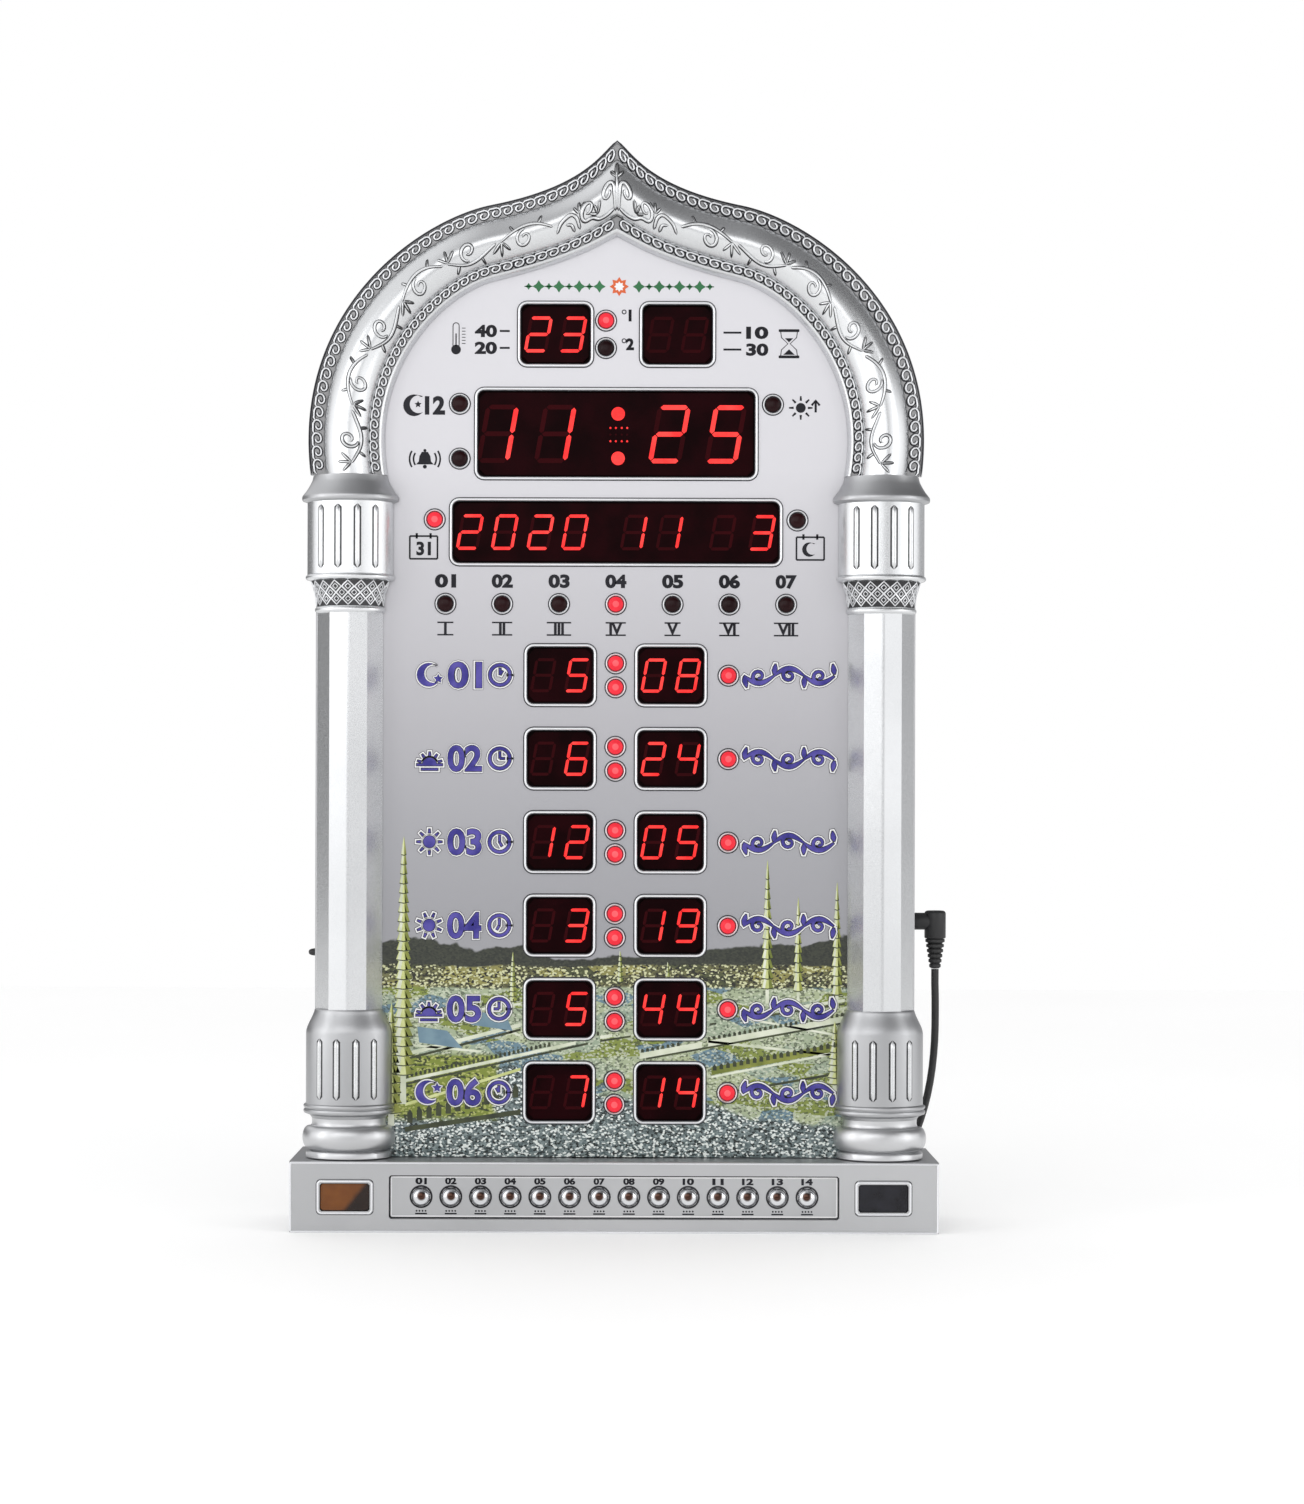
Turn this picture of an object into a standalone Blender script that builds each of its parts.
"""A prayer-time clock with an arch, two columns and a button base, as separate pieces.

Metres, +Z up, front towards -Y. The origin is under the middle of the base, on the surface it stands on.
Heights and depths are stacked from the pieces that fill them, so a changed size moves what rests on it.
"""

import math

import bmesh
import bpy
from mathutils import Matrix, Vector

MM = 0.001

# Clearances
SEAT_GAP = 0.3 * MM
CUT_OVERRUN = 1.0 * MM
WELD_DISTANCE = 0.001 * MM
SUNK = 0.4 * MM

# Display windows and their raised rims
RIM_WIDTH = 1.9 * MM
RIM_RISE = 1.0 * MM
RIM_CREST_SHARE = 0.75
WINDOW_CORNER = 2.4 * MM
TIME_WINDOW_WIDTH = 111.4 * MM
TIME_WINDOW_HEIGHT = 34.0 * MM
DATE_WINDOW_WIDTH = 131.5 * MM
DATE_WINDOW_HEIGHT = 24.1 * MM
SMALL_WINDOW_WIDTH = 27.4 * MM
SMALL_WINDOW_HEIGHT = 23.2 * MM
ROW_WINDOW_WIDTH = 25.9 * MM
ROW_WINDOW_HEIGHT = 22.0 * MM
ROW_COUNT = 6
DAY_COUNT = 7

# Lamps and their cone-shaped bezels
LAMP_DIAMETER = 5.6 * MM
LAMP_SIDES = 6
LAMP_HOLE_SIDES = 8
LAMP_PROUD = 1.1 * MM
BEZEL_DIAMETER = 9.0 * MM
BEZEL_RISE = 0.9 * MM
LAMP_PAIR_GAP = 0.7 * MM
LAMP_SIDE_GAP = 1.3 * MM
COLON_SIDE_GAP = 3.4 * MM
UNIT_LAMP_GAP = 2.1 * MM
UNIT_SIDE_GAP = 4.6 * MM
ROW_LAMP_GAP = 4.0 * MM
DAY_PITCH = 23.0 * MM

# Gaps of the panel's layout, from the base upwards
LAST_ROW_MARGIN = 13.5 * MM
ROW_GAP = 8.0 * MM
DAY_GAP = 15.9 * MM
DATE_GAP = 15.2 * MM
TIME_GAP = 7.0 * MM
TOP_GAP = 7.9 * MM
STATUS_LAMP_RISE = 12.0 * MM
ALARM_LAMP_DROP = 10.2 * MM
DATE_LAMP_RISE = 5.0 * MM
ARCH_HEADROOM = 64.6 * MM
SPRING_RISE = 1.6 * MM
SIDE_MARGIN = 14.35 * MM

# Panel, display units and boards, in depth
PANEL_SETBACK = 14.7 * MM
PANEL_THICKNESS = 2.2 * MM
PANEL_LAP = 3.5 * MM
LENS_SETBACK = 0.6 * MM
DISPLAY_BORDER = 1.6 * MM
DISPLAY_DEPTH = 8.0 * MM
BOARD_THICKNESS = 1.6 * MM
BOARD_MARGIN = 1.4 * MM
BOARD_TOP_MARGIN = 8.0 * MM
BOARD_FOOT_RISE = 6.0 * MM
SPEAKER_SPACE = 3.6 * MM

# Arch moulding
ARCH_BAND_WIDTH = 30.3 * MM
ARCH_APEX_DEPTH = 38.5 * MM
ARCH_RIM_HEIGHT = 2.6 * MM
ARCH_BORDER_HEIGHT = 3.2 * MM
ARCH_CROWN_HEIGHT = 9.0 * MM
ARCH_SHELL = 2.4 * MM
ARCH_LOWER_STATIONS = 14
ARCH_UPPER_STATIONS = 9
ARCH_OUTER_SHARES = ((1.0, 0.0), (1.069, 0.502), (0.637, 0.765), (0.408, 0.806),
                     (0.094, 0.863), (0.047, 0.968), (0.0, 1.0))
ARCH_INNER_SHARES = ((1.0, 0.0), (1.089, 0.441), (0.762, 0.759), (0.532, 0.813),
                     (0.164, 0.901), (0.084, 0.962), (0.0, 1.0))
RIM_SHARE = 0.045
OUTER_BORDER_SHARE = 0.21
BAND_START_SHARE = 0.235
BAND_END_SHARE = 0.775
INNER_BORDER_SHARE = 0.93
BAND_STEPS = 6

# Columns, from the foot up
COLUMN_DEPTH_SHARE = 0.7
FOOT_HEIGHT = 3.2 * MM
FOOT_HALF_WIDTH = 17.4 * MM
TORUS_HEIGHT = 10.1 * MM
TORUS_HALF_WIDTH = 18.8 * MM
NECK_HEIGHT = 4.6 * MM
NECK_HALF_WIDTH = 15.1 * MM
DOUBLE_RING_HEIGHT = 4.0 * MM
DOUBLE_RING_HALF_WIDTH = 18.4 * MM
DOUBLE_RING_GROOVE = 0.7 * MM
PEDESTAL_HEIGHT = 28.6 * MM
DRUM_HALF_WIDTH = 17.4 * MM
SHOULDER_HEIGHT = 9.3 * MM
SHAFT_HALF_WIDTH = 13.3 * MM
NECKING_HEIGHT = 2.4 * MM
NECKING_HALF_WIDTH = 14.2 * MM
CUP_HEIGHT = 10.7 * MM
CUP_FOOT_HALF_WIDTH = 13.6 * MM
CUP_RIM_HALF_WIDTH = 15.8 * MM
DRUM_RING_HEIGHT = 2.3 * MM
DRUM_RING_HALF_WIDTH = 18.0 * MM
CAPITAL_HEIGHT = 29.7 * MM
EAVE_HEIGHT = 2.4 * MM
EAVE_HALF_WIDTH = 19.6 * MM
ROOF_HEIGHT = 7.9 * MM
ROOF_HALF_WIDTH = 15.0 * MM
COLUMN_SIDES = 12
FACET_SHARES = ((1.0, 0.0), (0.57, 0.84), (0.0, 1.0), (-0.57, 0.84), (-1.0, 0.0))
TORUS_ROWS = 4
BEAD_HALF_WIDTH = 1.4 * MM
BEAD_RISE = 1.0 * MM
BEAD_END_MARGIN = 1.6 * MM
BEAD_COUNT = 4
BEAD_STEP_DEGREES = 26.0
BEAD_TIP_SHARE = 0.45
BEAD_SECTION_SHARES = ((1.0, 0.1), (0.55, 1.0), (-0.55, 1.0), (-1.0, 0.1),
                       (-1.0, -1.0), (1.0, -1.0))

# Case behind the arch and columns
CASE_INSET = 1.8 * MM
CASE_WALL = 2.4 * MM
LEDGE_DEPTH = 2.0 * MM
LEDGE_REACH = 4.7 * MM
POST_RADIUS = 3.0 * MM
BOARD_POST_RADIUS = 2.0 * MM
POST_WALL_GAP = 3.2 * MM
POST_HEIGHT_SHARES = (0.06, 0.5, 0.94)
BOARD_POST_SHARES = (0.08, 0.5, 0.92)
POST_SIDES = 6

# Base
BASE_HEIGHT = 28.4 * MM
BASE_OVERHANG = 7.4 * MM
BASE_WALL = 2.2 * MM
BASE_EDGE = 0.8 * MM
BUTTON_PROUD = 1.0 * MM
FASCIA_RECESS = 2.0 * MM
FASCIA_END_MARGIN = 12.8 * MM
FASCIA_HEIGHT = 17.5 * MM
SENSOR_WINDOW_WIDTH = 20.0 * MM
SENSOR_WINDOW_HEIGHT = 11.2 * MM
SENSOR_WINDOW_GAP = 7.6 * MM
SENSOR_END_MARGIN = 12.3 * MM
SENSOR_LIP_WIDTH = 1.5 * MM
SENSOR_LIP_RISE = 0.6 * MM
SENSOR_LIP_CREST_SHARE = 0.6
SENSOR_LENS_FLANGE = 1.2 * MM
SENSOR_LENS_THICKNESS = 1.2 * MM
CABLE_SLOT_WIDTH = 34.0 * MM
CABLE_SLOT_DEPTH = 26.0 * MM
LUG_SIZE = 8.0 * MM
LUG_SHARE = 0.45

# Buttons and their board
BUTTON_COUNT = 14
BUTTON_DIAMETER = 7.4 * MM
BUTTON_CAP_HEIGHT = 2.4 * MM
BUTTON_DOME_SHARES = ((0.66, 0.22),)
BUTTON_FLANGE = 0.8 * MM
BUTTON_FLANGE_THICKNESS = 1.0 * MM
BUTTON_TRAVEL = 0.8 * MM
PLUNGER_RADIUS = 1.5 * MM
PLUNGER_ENGAGEMENT = 1.0 * MM
SWITCH_SIZE = 6.0 * MM
SWITCH_DEPTH = 3.5 * MM
SWITCH_CLEARANCE = 0.5 * MM
BUTTON_SIDES = 8
BUTTON_BOARD_MARGIN = 4.0 * MM
BUTTON_BOARD_END = 7.0 * MM

# Rear cover
COVER_THICKNESS = 2.0 * MM
COVER_EDGE_GAP = 0.4 * MM
COVER_LIP_HEIGHT = 2.1 * MM
COVER_LIP_THICKNESS = 1.6 * MM
COVER_LIP_RISE = 3.0 * MM
SCREW_HOLE_RADIUS = 1.7 * MM
KEYHOLE_HEAD_RADIUS = 5.0 * MM
KEYHOLE_SLOT_RADIUS = 2.5 * MM
KEYHOLE_LENGTH = 9.0 * MM
KEYHOLE_SPREAD = 60.0 * MM
KEYHOLE_DROP = 20.0 * MM
KEYHOLE_STEPS = 9
GRILLE_SLOT_COUNT = 7
GRILLE_SLOT_WIDTH = 2.6 * MM
GRILLE_PITCH = 6.4 * MM

# Speaker, behind the cover's grille
SPEAKER_HEIGHT = 104.0 * MM
SPEAKER_RADIUS = 28.5 * MM
SPEAKER_FLANGE = 1.4 * MM
SPEAKER_RIM_WIDTH = 3.4 * MM
BASKET_DEPTH = 9.5 * MM
BASKET_WALL = 1.2 * MM
MAGNET_RADIUS = 14.0 * MM
MAGNET_DEPTH = 6.0 * MM
CONE_THICKNESS = 0.8 * MM
CONE_SETBACK = 0.8 * MM
DUST_CAP_SHARE = 0.3
SPEAKER_SIDES = 20

# Backup cell and ribbon inside
CELL_RADIUS = 10.0 * MM
CELL_THICKNESS = 3.2 * MM
CELL_EDGE_MARGIN = 32.3 * MM
RIBBON_WIDTH = 20.0 * MM
RIBBON_THICKNESS = 0.6 * MM
RIBBON_LAP = 8.0 * MM

# Temperature probe on the left wall, power jack on the right wall
PROBE_HEIGHT = 110.4 * MM
PROBE_RING_RADIUS = 3.4 * MM
PROBE_RING_THICKNESS = 1.0 * MM
PROBE_RADIUS = 1.6 * MM
PROBE_SHOULDER_RADIUS = 1.3 * MM
PROBE_LENGTH = 4.1 * MM
PROBE_INNER_LENGTH = 6.0 * MM
JACK_HEIGHT = 123.8 * MM
JACK_FLANGE_RADIUS = 4.9 * MM
JACK_FLANGE_THICKNESS = 1.0 * MM
JACK_BODY_RADIUS = 4.1 * MM
JACK_LENGTH = 11.5 * MM
JACK_BORE_RADIUS = 3.05 * MM
JACK_BORE_DEPTH = 10.0 * MM
ROUND_SIDES = 10

# Plug, cord, coil, tie and adapter
PLUG_BARREL_LENGTH = 9.0 * MM
PLUG_ARM_RADIUS = 3.5 * MM
PLUG_ARM_LENGTH = 9.2 * MM
PLUG_BODY_RADIUS = 4.4 * MM
PLUG_BODY_TOP = 4.4 * MM
PLUG_BODY_DROP = 7.0 * MM
PLUG_EDGE = 1.3 * MM
RELIEF_LENGTH = 12.4 * MM
RELIEF_TOP_RADIUS = 4.0 * MM
RELIEF_FOOT_RADIUS = 2.4 * MM
RELIEF_RIBS = 5
RELIEF_GROOVE_DEPTH_SHARE = 0.8
RELIEF_GROOVE_START_SHARE = 0.6
CORD_DIAMETER = 3.2 * MM
CORD_SPACING = 6.0 * MM
CORD_FLOOR_GAP = 0.2 * MM
CORD_SPLINE_STEPS = 24
CORD_ROUTE_SHARES = (
    (0.0, 0.0, 1.0), (0.0, 0.0, 0.93), (-0.01, 0.01, 0.85), (-0.01, 0.06, 0.7), (0.04, 0.15, 0.55),
    (0.15, 0.28, 0.41), (0.32, 0.44, 0.28), (0.55, 0.61, 0.15), (0.8, 0.75, 0.05), (0.96, 0.84, 0.01),
    (1.0, 0.9, 0.0), (1.0, 1.0, 0.0))
CORD_BASE_ROOM = 26.3 * MM
COIL_MIDDLE_RADIUS = 19.2 * MM
COIL_PITCH = 3.6 * MM
COIL_FLOOR_GAP = 1.3 * MM
COIL_INSET = 19.5 * MM
COIL_TURNS_PER_LAYER = 4.125
COIL_LOOP_POINTS = 24
COIL_CLIMB_TURNS = 0.5
TAIL_ROUTE_SHARES = (
    (0.0, 0.0, 0.0), (0.08, 0.0, -0.08), (0.17, 0.03, -0.25), (0.27, 0.1, -0.41), (0.37, 0.23, -0.5),
    (0.47, 0.4, -0.45), (0.57, 0.6, -0.2), (0.66, 0.77, 0.16), (0.75, 0.9, 0.54), (0.83, 0.97, 0.83),
    (0.91, 1.0, 0.97), (1.0, 1.0, 1.0))
TIE_WIDTH = 6.0 * MM
TIE_THICKNESS = 0.8 * MM
TIE_SIDE_ROOM = 0.8 * MM
TIE_CORNER = 1.6 * MM
ADAPTER_ROOM = 18.0 * MM
ADAPTER_SHIFT = 9.0 * MM
ADAPTER_LENGTH = 62.0 * MM
ADAPTER_WIDTH = 36.0 * MM
ADAPTER_HEIGHT = 29.0 * MM
ADAPTER_EDGE = 3.0 * MM
ADAPTER_RELIEF_LENGTH = 12.0 * MM
ADAPTER_RELIEF_RADIUS = 3.6 * MM
ADAPTER_RELIEF_HEIGHT = 9.0 * MM
ADAPTER_PIN_RADIUS = 2.0 * MM
ADAPTER_PIN_LENGTH = 19.0 * MM
ADAPTER_PIN_SPREAD = 19.0 * MM

# Heights worked out from the layout
LAST_ROW_Z = BASE_HEIGHT + LAST_ROW_MARGIN + RIM_WIDTH + ROW_WINDOW_HEIGHT / 2
ROW_PITCH = ROW_WINDOW_HEIGHT + 2 * RIM_WIDTH + ROW_GAP
FIRST_ROW_Z = LAST_ROW_Z + (ROW_COUNT - 1) * ROW_PITCH
DAY_Z = FIRST_ROW_Z + ROW_WINDOW_HEIGHT / 2 + RIM_WIDTH + DAY_GAP
DATE_Z = DAY_Z + DATE_GAP + RIM_WIDTH + DATE_WINDOW_HEIGHT / 2
TIME_FOOT_Z = DATE_Z + DATE_WINDOW_HEIGHT / 2 + RIM_WIDTH + TIME_GAP
TIME_Z = TIME_FOOT_Z + RIM_WIDTH + TIME_WINDOW_HEIGHT / 2
TOP_ROW_FOOT_Z = TIME_Z + TIME_WINDOW_HEIGHT / 2 + RIM_WIDTH + TOP_GAP
TOP_ROW_Z = TOP_ROW_FOOT_Z + RIM_WIDTH + SMALL_WINDOW_HEIGHT / 2
SPRING_Z = TIME_FOOT_Z + SPRING_RISE
APEX_Z = TOP_ROW_Z + SMALL_WINDOW_HEIGHT / 2 + RIM_WIDTH + ARCH_HEADROOM
ARCH_RISE = APEX_Z - SPRING_Z
INNER_RISE = ARCH_RISE - ARCH_APEX_DEPTH

# Widths worked out from the layout
BEZEL_RADIUS = BEZEL_DIAMETER / 2
TIME_LAMP_X = TIME_WINDOW_WIDTH / 2 + RIM_WIDTH + LAMP_SIDE_GAP + BEZEL_RADIUS
DATE_LAMP_X = DATE_WINDOW_WIDTH / 2 + RIM_WIDTH + LAMP_SIDE_GAP + BEZEL_RADIUS
ROW_WINDOW_X = BEZEL_RADIUS + COLON_SIDE_GAP - LAMP_PAIR_GAP / 2 + RIM_WIDTH + ROW_WINDOW_WIDTH / 2
SMALL_WINDOW_X = BEZEL_RADIUS + UNIT_SIDE_GAP + RIM_WIDTH + SMALL_WINDOW_WIDTH / 2
UNIT_LAMP_X = SEAT_GAP - UNIT_SIDE_GAP
ROW_LAMP_X = ROW_WINDOW_X + ROW_WINDOW_WIDTH / 2 + RIM_WIDTH + ROW_LAMP_GAP + BEZEL_RADIUS
INNER_HALF_WIDTH = DATE_LAMP_X + BEZEL_RADIUS + SIDE_MARGIN
ARCH_HALF_WIDTH = INNER_HALF_WIDTH + ARCH_BAND_WIDTH
COLUMN_X = ARCH_HALF_WIDTH - ARCH_BAND_WIDTH / 2
BASE_HALF_WIDTH = ARCH_HALF_WIDTH + BASE_OVERHANG
CASE_HALF_WIDTH = ARCH_HALF_WIDTH - CASE_INSET

# Depths worked out from the pieces between the button tips and the cover
SPEAKER_DEPTH = BASKET_DEPTH + BASKET_WALL + SEAT_GAP + MAGNET_DEPTH
BODY_DEPTH = (PANEL_SETBACK + PANEL_THICKNESS + SEAT_GAP + DISPLAY_DEPTH + SEAT_GAP
              + BOARD_THICKNESS + SPEAKER_SPACE + SPEAKER_DEPTH + SEAT_GAP + COVER_THICKNESS)
FRONT_Y = -BODY_DEPTH / 2
BACK_Y = BODY_DEPTH / 2
PANEL_Y = FRONT_Y + PANEL_SETBACK
PANEL_BACK_Y = PANEL_Y + PANEL_THICKNESS
DISPLAY_Y = PANEL_BACK_Y + SEAT_GAP
DISPLAY_BACK_Y = DISPLAY_Y + DISPLAY_DEPTH
BOARD_Y = DISPLAY_BACK_Y + SEAT_GAP
BOARD_BACK_Y = BOARD_Y + BOARD_THICKNESS
COVER_Y = BACK_Y - COVER_THICKNESS
SHELL_BACK_Y = COVER_Y - SEAT_GAP
MOULDING_BACK_Y = PANEL_Y - SEAT_GAP
LEDGE_Y = PANEL_BACK_Y + SEAT_GAP
LEDGE_BACK_Y = LEDGE_Y + LEDGE_DEPTH
BASE_FRONT_Y = FRONT_Y + BUTTON_PROUD
FASCIA_Y = BASE_FRONT_Y + FASCIA_RECESS
FASCIA_BACK_Y = FASCIA_Y + BASE_WALL
BUTTON_FLANGE_Y = FASCIA_BACK_Y + SEAT_GAP
BUTTON_FLANGE_BACK_Y = BUTTON_FLANGE_Y + BUTTON_FLANGE_THICKNESS
SWITCH_Y = BUTTON_FLANGE_BACK_Y + BUTTON_TRAVEL + SWITCH_CLEARANCE
BUTTON_BOARD_Y = SWITCH_Y + SWITCH_DEPTH
BUTTON_BOARD_BACK_Y = BUTTON_BOARD_Y + BOARD_THICKNESS
SIDE_FITTING_Y = (LEDGE_BACK_Y + COVER_Y) / 2
BUTTON_Z = BASE_HEIGHT / 2
SENSOR_WINDOW_X = BASE_HALF_WIDTH - SENSOR_END_MARGIN - SENSOR_WINDOW_WIDTH / 2
FASCIA_HALF_WIDTH = SENSOR_WINDOW_X - SENSOR_WINDOW_WIDTH / 2 - SENSOR_WINDOW_GAP
BUTTON_PITCH = 2 * (FASCIA_HALF_WIDTH - FASCIA_END_MARGIN) / (BUTTON_COUNT - 1)

# The plug, and the coil that lies behind the base
PLUG_FACE_X = CASE_HALF_WIDTH + JACK_FLANGE_THICKNESS + 2 * SEAT_GAP
PLUG_BODY_X = PLUG_FACE_X + PLUG_ARM_LENGTH + SUNK
COIL_RADIUS = COIL_MIDDLE_RADIUS + COIL_PITCH * COIL_TURNS_PER_LAYER / 2
COIL_X = BASE_HALF_WIDTH - COIL_INSET
COIL_CENTRE_X = COIL_X - COIL_RADIUS
COIL_CENTRE_Y = BACK_Y + CORD_BASE_ROOM + CORD_DIAMETER
COIL_LOW_Z = CORD_DIAMETER / 2 + COIL_FLOOR_GAP
ADAPTER_FACE_X = COIL_CENTRE_X - COIL_RADIUS - ADAPTER_ROOM - ADAPTER_RELIEF_LENGTH


def clear_scene():
    """Removes every object of the startup scene."""
    for item in list(bpy.data.objects):
        bpy.data.objects.remove(item, do_unlink=True)


def finish_material(name, colour, roughness, metallic=0.0, transmission=0.0):
    """A Principled material with one finish."""
    material = bpy.data.materials.new(name)
    material.use_nodes = True
    shader = material.node_tree.nodes["Principled BSDF"]
    shader.inputs["Base Color"].default_value = (*colour, 1.0)
    shader.inputs["Roughness"].default_value = roughness
    shader.inputs["Metallic"].default_value = metallic
    shader.inputs["Transmission Weight"].default_value = transmission
    material.diffuse_color = (*colour, 1.0)
    return material


def make_materials():
    """Every finish on the clock, by name."""
    return {
        "silver_paint": finish_material("silver_paint", (0.66, 0.67, 0.68), 0.32, 0.6),
        "panel_print": finish_material("panel_print", (0.63, 0.63, 0.67), 0.28, 0.3),
        "cover_plastic": finish_material("cover_plastic", (0.55, 0.56, 0.57), 0.5, 0.2),
        "display_lens": finish_material("display_lens", (0.07, 0.004, 0.006), 0.12),
        "circuit_board": finish_material("circuit_board", (0.02, 0.16, 0.06), 0.45),
        "chrome_plating": finish_material("chrome_plating", (0.82, 0.83, 0.85), 0.08, 1.0),
        "cell_steel": finish_material("cell_steel", (0.7, 0.7, 0.7), 0.25, 1.0),
        "magnet": finish_material("magnet", (0.08, 0.08, 0.08), 0.6, 0.3),
        "amber_lens": finish_material("amber_lens", (0.30, 0.11, 0.03), 0.1, 0.0, 0.5),
        "black_lens": finish_material("black_lens", (0.01, 0.01, 0.012), 0.1),
        "black_plastic": finish_material("black_plastic", (0.015, 0.015, 0.016), 0.4),
        "black_rubber": finish_material("black_rubber", (0.018, 0.018, 0.018), 0.65),
        "speaker_steel": finish_material("speaker_steel", (0.25, 0.25, 0.26), 0.4, 0.9),
        "speaker_paper": finish_material("speaker_paper", (0.03, 0.03, 0.03), 0.9),
        "ribbon": finish_material("ribbon", (0.6, 0.6, 0.6), 0.5),
    }


def add_object(name, bm, material, smooth_degrees=35.0):
    """Puts a finished bmesh in the scene under its own name."""
    bmesh.ops.remove_doubles(bm, verts=bm.verts, dist=WELD_DISTANCE)
    bmesh.ops.recalc_face_normals(bm, faces=bm.faces)
    mesh = bpy.data.meshes.new(name)
    bm.to_mesh(mesh)
    bm.free()
    mesh.materials.append(material)
    mesh.shade_smooth()
    mesh.set_sharp_from_angle(angle=math.radians(smooth_degrees))
    item = bpy.data.objects.new(name, mesh)
    bpy.context.scene.collection.objects.link(item)
    return item


def as_tool(item):
    """Marks an object that only cuts or joins another."""
    item.hide_render = True
    item.display_type = "WIRE"
    return item


def combine(item, tool, operation):
    """Cuts the tool out of the item, or joins it on."""
    modifier = item.modifiers.new(tool.name, "BOOLEAN")
    modifier.operation = operation
    modifier.solver = "EXACT"
    modifier.object = as_tool(tool)


def add_loop(bm, outline, y):
    """A closed loop of vertices at one depth, from (x, z) points."""
    return [bm.verts.new((x, y, z)) for x, z in outline]


def skin(bm, first, second):
    """Quads between two loops of the same count."""
    count = len(first)
    for i in range(count):
        j = (i + 1) % count
        bm.faces.new((first[i], first[j], second[j], second[i]))


def fill_flat(bm, loops, normal):
    """Fills the area between a flat outline and the holes inside it."""
    edges = []
    for loop in loops:
        for i, vert in enumerate(loop):
            pair = (vert, loop[(i + 1) % len(loop)])
            edges.append(bm.edges.get(pair) or bm.edges.new(pair))
    bmesh.ops.triangle_fill(bm, use_beauty=True, use_dissolve=False, edges=edges, normal=normal)


def box(bm, low, high):
    """A box between two corners."""
    made = bmesh.ops.create_cube(bm, size=1.0)["verts"]
    middle = (Vector(low) + Vector(high)) / 2
    spans = Vector(high) - Vector(low)
    for vert in made:
        vert.co = middle + Vector(vert.co[k] * spans[k] for k in range(3))
    return made


def round_rect(half_width, half_height, radius, steps, centre=(0.0, 0.0)):
    """The outline of a rectangle with round corners, anticlockwise."""
    points = []
    corners = ((1, 1, 0), (-1, 1, 1), (-1, -1, 2), (1, -1, 3))
    for side_x, side_z, quarter in corners:
        middle_x = centre[0] + side_x * (half_width - radius)
        middle_z = centre[1] + side_z * (half_height - radius)
        for step in range(steps + 1):
            angle = math.pi / 2 * (quarter + step / steps)
            points.append((middle_x + radius * math.cos(angle), middle_z + radius * math.sin(angle)))
    return points


def circle(radius, sides, centre=(0.0, 0.0)):
    """A round outline, anticlockwise."""
    angles = [math.tau * (i + 0.5) / sides for i in range(sides)]
    return [(centre[0] + radius * math.cos(a), centre[1] + radius * math.sin(a)) for a in angles]


def bezier(points, count):
    """Points along a cubic curve, both ends included."""
    ends = [Vector(point) for point in points]
    found = []
    for i in range(count):
        t = i / (count - 1)
        near = ends[0] * (1 - t) ** 3 + ends[1] * 3 * (1 - t) ** 2 * t
        found.append(near + ends[2] * 3 * (1 - t) * t * t + ends[3] * t ** 3)
    return found


def arch_line(half_width, rise, shares, foot_z):
    """A pointed ogee from the right foot over the apex to the left, with legs down to foot_z."""
    corners = [(half_width * x, SPRING_Z + rise * z) for x, z in shares]
    right = bezier(corners[:4], ARCH_LOWER_STATIONS) + bezier(corners[3:], ARCH_UPPER_STATIONS)[1:]
    left = [Vector((-x, z)) for x, z in reversed(right[:-1])]
    line = right + left
    if foot_z < SPRING_Z:
        line = [Vector((half_width, foot_z))] + line + [Vector((-half_width, foot_z))]
    return line


def outer_line(foot_z):
    return arch_line(ARCH_HALF_WIDTH, ARCH_RISE, ARCH_OUTER_SHARES, foot_z)


def inner_line(foot_z):
    return arch_line(INNER_HALF_WIDTH, INNER_RISE, ARCH_INNER_SHARES, foot_z)


def shifted(line, distance):
    """The symmetric line moved outwards by a distance, or inwards by a negative one."""
    apex = len(line) // 2
    moved = []
    for i, point in enumerate(line[:apex + 1]):
        normals = []
        for start, end in ((line[max(i - 1, 0)], point), (point, line[i + 1])):
            run = end - start
            if run.length > 0:
                normals.append(Vector((run.y, -run.x)).normalized())
        normal = sum(normals, Vector((0.0, 0.0))).normalized()
        moved.append(point + normal * distance / normal.dot(normals[0]))
    last = max(i for i in range(apex) if moved[i].x > 0)
    if last < apex - 1:
        crossing = moved[last].x / (moved[last].x - moved[last + 1].x)
        meeting = moved[last].lerp(moved[last + 1], crossing)
        for i in range(last + 1, apex + 1):
            moved[i] = moved[last].lerp(meeting, (i - last) / (apex - last))
    return moved + [Vector((-point.x, point.y)) for point in reversed(moved[:-1])]


def band(name, rails, material, smooth_degrees=35.0):
    """A solid swept along rails, each a (line, depth). A station of them is one closed section."""
    bm = bmesh.new()
    stations = []
    for i in range(len(rails[0][0])):
        stations.append([bm.verts.new((line[i].x, y, line[i].y)) for line, y in rails])
    for first, second in zip(stations, stations[1:]):
        skin(bm, first, second)
    bm.faces.new(stations[0])
    bm.faces.new(stations[-1])
    return add_object(name, bm, material, smooth_degrees)


def blend(outer, inner, share):
    """The line that lies at a share of the way from the outer line to the inner one."""
    return [a.lerp(b, share) for a, b in zip(outer, inner)]


def turned(name, profile, sides, place, axis, material, closed=False):
    """A turned piece. The profile lists (radius, distance along the axis)."""
    bm = bmesh.new()
    add_turned(bm, profile, sides, place, axis, closed)
    return add_object(name, bm, material)


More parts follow.
